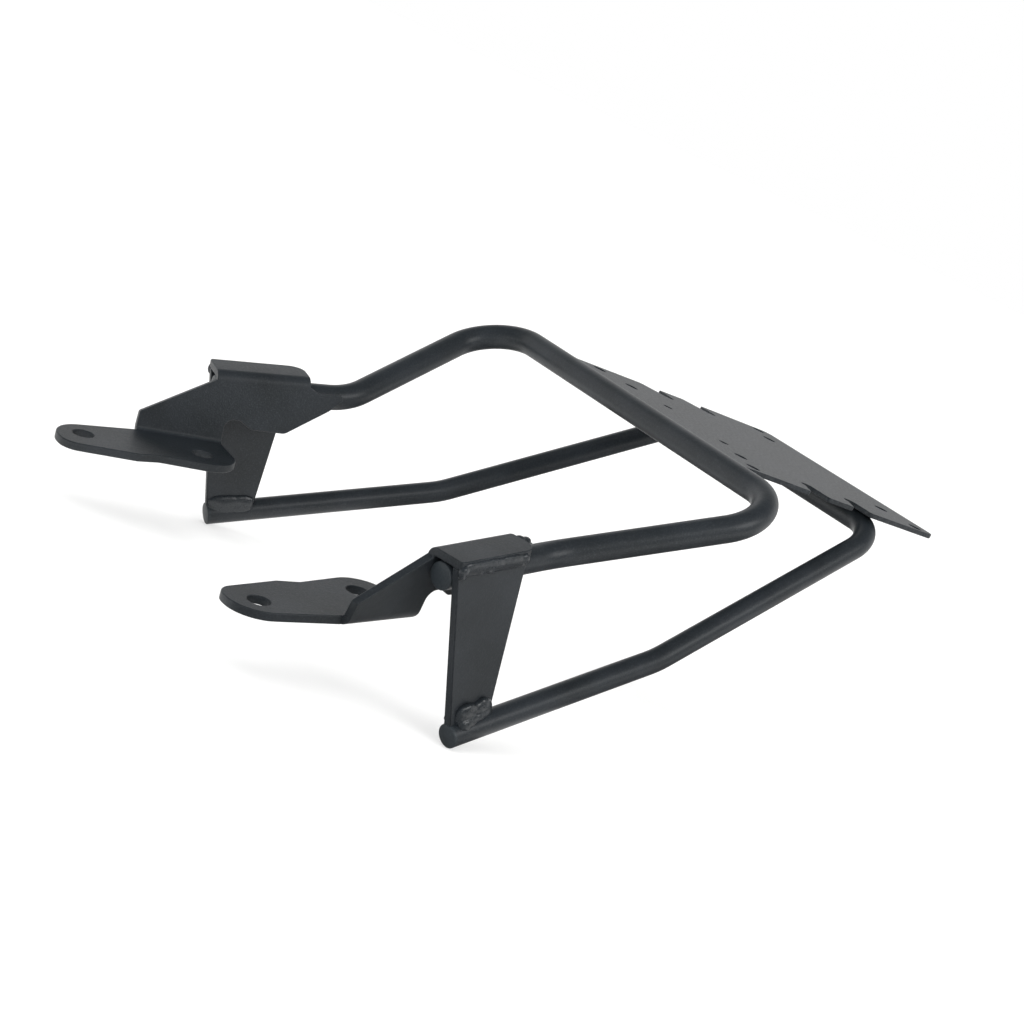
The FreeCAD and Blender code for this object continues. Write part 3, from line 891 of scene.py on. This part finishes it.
@dataclass
class Studio:
    """White paper floor, broad lights, a soft box, dark cloths and the photograph's camera."""

    eye: Vector
    right: Vector
    up: Vector
    back: Vector
    lens: float = 88.0
    sensor: float = 36.0
    clip_near: float = 0.01
    clip_far: float = 200.0
    paper: WhitePaper = WhitePaper()
    floor_reach: float = 60.0
    ambient: float = 0.5
    lamps: tuple[Lamp, ...] = (
        Lamp("overhead_light", Vector((-0.25, 0.35, -1.0)), 1.9, math.radians(60)),
        Lamp("front_light", Vector((-0.5, 0.85, -0.1)), 2.6, math.radians(50)),
        Lamp("back_light", Vector((0.35, -0.85, -0.3)), 2.6, math.radians(60)))
    box_place: Vector = Vector((1.70, 0.24, 1.03))
    box_width: float = 1.5
    box_height: float = 0.6
    box_power: float = 16.0
    # The hanging cloths: how high the overhead one is, and how far each stands from the rack.
    overhead_rise: float = 1.9
    overhead_lead: float = 0.6
    behind_camera: float = 2.8
    beside_camera: float = 3.0
    beside_lead: float = 1.5
    # The cloths on the floor lie just above it and are less dark.
    floor_cloth_lift: float = 0.1 * MM
    floor_cloth_glow: float = 0.25

    def surround(self) -> None:
        """Set the white surroundings, which light the rack less than they show."""
        world = bpy.data.worlds.new("white_studio")
        bpy.context.scene.world = world
        tree = bare_tree(world)
        fill = add_node(tree, "ShaderNodeBackground", {"Strength": self.ambient, "Color": WHITE})
        white = add_node(tree, "ShaderNodeBackground", {"Strength": 1.0, "Color": WHITE})
        mix = add_node(tree, "ShaderNodeMixShader", None, {
            0: seen(tree), 1: fill.outputs[0], 2: white.outputs[0]})
        add_node(tree, "ShaderNodeOutputWorld", None, {"Surface": mix.outputs[0]})

    def light(self) -> None:
        """Add the broad lights and the soft box to the right of the camera."""
        for lamp in self.lamps:
            lamp.add()
        bpy.ops.object.light_add(type="AREA", location=self.box_place,
                                 rotation=self.box_place.to_track_quat("Z", "Y").to_euler())
        box = bpy.context.object
        box.name = "soft_box"
        box.data.shape = "RECTANGLE"
        box.data.size = self.box_width
        box.data.size_y = self.box_height
        box.data.energy = self.box_power

    def lay_floor(self, height: float) -> None:
        """Lay the pale floor under the rack.

        Args:
            height: Level of the floor.
        """
        bpy.ops.object.select_all(action="DESELECT")
        bpy.ops.mesh.primitive_plane_add(size=self.floor_reach, location=(0.0, 0.0, height))
        floor = bpy.context.object
        floor.name = "studio_floor"
        floor.data.materials.append(self.paper.build())
        floor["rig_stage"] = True

    def cards(self, floor_level: float) -> tuple[Card, ...]:
        """List the dark cloths: overhead, behind and beside the camera, and on the floor.

        Args:
            floor_level: Height of the floor.

        Returns:
            The cloths.
        """
        level = Vector((self.back.x, self.back.y, 0.0)).normalized()
        across = Vector((-level.y, level.x, 0.0))
        over = UPWARD * self.overhead_rise + level * self.overhead_lead
        left = across * -self.beside_camera + level * self.beside_lead
        right = across * self.beside_camera + level * self.beside_lead
        floor = UPWARD * (floor_level + self.floor_cloth_lift)
        return (Card("cloth_overhead", over, over, width=8.0, height=8.0),
                Card("cloth_behind_camera", level * self.behind_camera, level, width=4.0,
                     height=3.6),
                Card("cloth_left", left, left, width=3.0, height=3.6),
                Card("cloth_right", right, right, width=3.0, height=3.6),
                Card("cloth_under_plate", floor + Vector((0.05, 0.115, 0.0)), UPWARD, width=0.70,
                     height=0.47, glow=self.floor_cloth_glow),
                Card("cloth_beside_tab", floor + Vector((0.3, -0.385, 0.0)), UPWARD, width=0.40,
                     height=0.33, glow=self.floor_cloth_glow))

    def hang_cloths(self, floor_level: float) -> None:
        """Hang the dark cloths that keep the coat from turning pale all over.

        Args:
            floor_level: Height of the floor.
        """
        for card in self.cards(floor_level):
            card.hang()

    def aim_camera(self) -> None:
        """Set the camera where the photograph was taken."""
        bpy.ops.object.camera_add()
        camera = bpy.context.object
        camera.name = "photo_camera"
        camera.data.sensor_width = self.sensor
        camera.data.lens = self.lens
        camera.data.clip_start = self.clip_near
        camera.data.clip_end = self.clip_far
        turn = Matrix((self.right, self.up, self.back)).transposed().to_4x4()
        camera.matrix_world = Matrix.Translation(self.eye) @ turn
        bpy.context.scene.camera = camera

    def build(self, floor_level: float) -> None:
        """Set up the whole studio.

        Args:
            floor_level: Height of the floor.
        """
        self.surround()
        self.light()
        self.lay_floor(floor_level)
        self.hang_cloths(floor_level)
        self.aim_camera()


@dataclass
class Rack:
    """The whole luggage rack."""

    nodes: dict[str, bpy.types.Object]
    upper: Hoop
    lower: Hoop
    sheets: tuple[CutSheet, ...]
    paired_welds: tuple[WeldSeam, ...]
    wing_weld: WeldSeam
    plate_welds: tuple[WeldSeam, ...]
    plate_weld_places: tuple[float, ...] = (-62 * MM, 0.0, 62 * MM)

    def build(self) -> None:
        """Make and dress every piece."""
        tube_coat = TUBE_COAT.build()
        sheet_coat = SHEET_COAT.build()
        plate_coat = PLATE_COAT.build()
        # The discs' coat is paler than the rest: painted light on the tube ends.
        painted_light_disc_coat = PAINTED_LIGHT_DISC_COAT.build()
        weld_coat = WELD_COAT.build()
        self.upper.build(tube_coat, painted_light_disc_coat)
        self.lower.build(tube_coat, painted_light_disc_coat)
        for sheet in self.sheets:
            coat = plate_coat if sheet.node == "luggage_plate" else sheet_coat
            sheet.build(self.nodes[sheet.node], coat)
        for weld in self.paired_welds:
            weld.build_pair(weld_coat)
        self.wing_weld.build_single(weld_coat)
        for weld in self.plate_welds:
            weld.build_row(weld_coat, self.plate_weld_places)


def flange_weld() -> WeldSeam:
    """Lay out the smooth band that joins the flange's outer edge to the gusset.

    Returns:
        The left side's seam.
    """
    band = even_bead(51.0, BAND_PITCH, (BAND_REACH, 2.0, 4.7), seed=11, out=0.9, up=-0.4)
    ends = (Lump(49.5, 1.0, -0.2, (3.4, 2.5, 4.2)), Lump(2.6, 1.2, -1.6, (3.2, 2.6, 4.2)))
    return WeldSeam("flange_weld", node="flange_bead",
                    start=Vector((0.153795, -0.302786, -0.095442)), run=RIDGE_RUN,
                    out=FLANGE_OUT, up=FLANGE_UP, lumps=band + ends, flow=7.0 * MM, smoothing=14)


def foot_weld_outer() -> WeldSeam:
    """Lay out the heavy weld at the gusset's foot, two humps high with a sagging lower toe.

    Returns:
        The left side's seam.
    """
    lumps = (
        Lump(9.5, 0.0, 3.6, (6.6, 3.2, 7.4)), Lump(12.5, 0.6, 4.6, (6.2, 3.0, 6.6)),
        Lump(9.6, 2.0, -2.0, (5.6, 2.8, 4.8)), Lump(14.0, 1.6, -1.4, (6.6, 2.8, 4.6)),
        Lump(18.0, -0.4, 2.8, (7.4, 3.0, 6.8)), Lump(20.0, 1.2, -0.8, (6.6, 2.6, 4.2)),
        Lump(24.0, 0.2, 3.8, (6.0, 3.2, 7.0)), Lump(25.5, 0.8, -0.2, (5.0, 2.6, 4.0)),
        Lump(28.5, -1.0, 2.4, (3.6, 3.2, 6.0)))
    return WeldSeam("foot_weld_outer", node="foot_bead_outer",
                    start=Vector((0.155993, -0.262709, -0.180339)),
                    run=Vector((-0.237247, 0.874357, 0.421893)).normalized(),
                    out=GUSSET_OUT, up=GUSSET_UP, lumps=lumps, ripple=1.0 * MM,
                    flow=6.0 * MM, smoothing=40)


def foot_weld_inner() -> WeldSeam:
    """Lay out the smooth weld on the gusset's inner side, which slopes out to the tube.

    Returns:
        The left side's seam.
    """
    length = 31.5
    upper = even_bead(length, BAND_PITCH, (BAND_REACH, 1.8, 4.4), seed=13, out=-0.8, up=3.4)
    lower = even_bead(length, BAND_PITCH, (BAND_REACH, 3.0, 4.6), seed=14, out=0.2, up=-0.6)
    return WeldSeam("foot_weld_inner", node="foot_bead_inner",
                    start=Vector((0.151149, -0.263661, -0.18116)),
                    run=Vector((-0.235899, 0.898877, 0.36947)).normalized(),
                    out=GUSSET_OUT, up=GUSSET_UP, lumps=upper + lower, ripple=0.6 * MM,
                    flow=7.0 * MM, smoothing=30)


def tube_weld() -> WeldSeam:
    """Lay out the weld in the groove under the upper tube, along the web.

    Returns:
        The left side's seam.
    """
    return WeldSeam("tube_weld", node="tube_bead",
                    start=Vector((0.13036, -0.286934, -0.105249)), run=RIDGE_RUN, out=WEB_OUT,
                    up=WEB_UP, lumps=even_bead(52.0, GROOVE_PITCH, (3.0, 3.0, 3.0), seed=17))


def wing_weld() -> WeldSeam:
    """Lay out the lump that closes the left wing's top edge against the tube.

    Returns:
        The seam.
    """
    lumps = (Lump(10.0, 2.5, -6.9, (5.6, 3.0, 4.2)), Lump(15.5, 2.6, -7.4, (5.4, 2.9, 3.8)),
             Lump(12.0, 6.0, -8.8, (6.4, 3.6, 3.0)))
    return WeldSeam("wing_weld_left", start=Vector((0.117359, -0.254148, -0.074962)),
                    run=Vector((-0.24869, 0.9488, 0.194761)), out=WEB_OUT, up=WEB_UP,
                    lumps=lumps, ripple=0.6 * MM, flow=6.0 * MM, smoothing=26)


def plate_weld(name: str, node: str, y: float) -> WeldSeam:
    """Lay out one stitch below the plate, in the middle of the rack.

    Args:
        name: Name of the row of stitches.
        node: Name of the row's solids.
        y: Place of the row along the rack.

    Returns:
        The stitch.
    """
    return WeldSeam(name, node=node, start=Vector((-STITCH_LENGTH / 2 * MM, y, -STITCH_DEPTH)),
                    run=Vector((1.0, 0.0, 0.0)), out=Vector((0.0, 1.0, 0.0)), up=UPWARD,
                    lumps=even_bead(STITCH_LENGTH, GROOVE_PITCH, STITCH_REACH, seed=19))


def design(nodes: dict[str, bpy.types.Object]) -> Rack:
    """Put the rack's sizes together.

    Args:
        nodes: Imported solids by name.

    Returns:
        The rack, ready to build.
    """
    upper = Hoop("upper_tube", "upper_hoop", diameter=16 * MM,
                 half_line=(Vector((0.140444, -0.30029, -0.104011)),
                            Vector((0.120752, -0.221155, -0.080035)),
                            Vector((0.1652, -0.1039, -0.006))),
                 front_bend=42 * MM, rear_bend=32 * MM, end_name="upper_cap",
                 end_node="upper_end")
    lower = Hoop("lower_tube", "lower_hoop", diameter=14 * MM,
                 half_line=(Vector((0.153661, -0.258519, -0.185767)),
                            Vector((0.127, -0.118, -0.1198)),
                            Vector((0.097, 0.0346, -0.01))),
                 front_bend=70 * MM, rear_bend=28 * MM, end_name="lower_cap",
                 end_node="lower_end")
    sheets = [CutSheet("luggage_plate", "plate_sheet", PLATE_EASE)]
    for side in Side:
        sheets.append(CutSheet("bracket" + side.suffix, "bracket_sheet" + side.suffix, SHEET_EASE))
        # The gusset ends just below the flange, also in front of the flange's end.
        flange_up = Vector((FLANGE_UP.x * side.value, FLANGE_UP.y, FLANGE_UP.z))
        top = Vector((GUSSET_TOP.x * side.value, GUSSET_TOP.y, GUSSET_TOP.z))
        sheets.append(CutSheet("gusset" + side.suffix, "gusset_sheet" + side.suffix, SHEET_EASE,
                               trim=(top - flange_up * GUSSET_TOP_GAP, flange_up)))
    return Rack(nodes, upper, lower, tuple(sheets),
                (flange_weld(), foot_weld_outer(), foot_weld_inner(), tube_weld()), wing_weld(),
                (plate_weld("front_weld", "front_bead", FRONT_STITCH_Y),
                 plate_weld("rear_weld", "rear_bead", REAR_STITCH_Y)))


def main() -> None:
    """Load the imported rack, dress it and set the studio around it."""
    logging.basicConfig(level=logging.INFO, format="%(message)s")
    for leftover in list(bpy.data.objects):
        bpy.data.objects.remove(leftover)
    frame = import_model()
    solid_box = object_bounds()
    bpy.context.scene.view_settings.view_transform = "Standard"
    Studio(eye=Vector((1.15704, -1.12036, 0.16289)), right=Vector((0.51909, 0.73866, 0.43003)),
           up=Vector((-0.39344, -0.24015, 0.88743)), back=Vector((0.75878, -0.62985, 0.16596)),
           ).build(solid_box[0].z)
    design(frame["nodes"]).build()


if __name__ == "__main__":
    main()
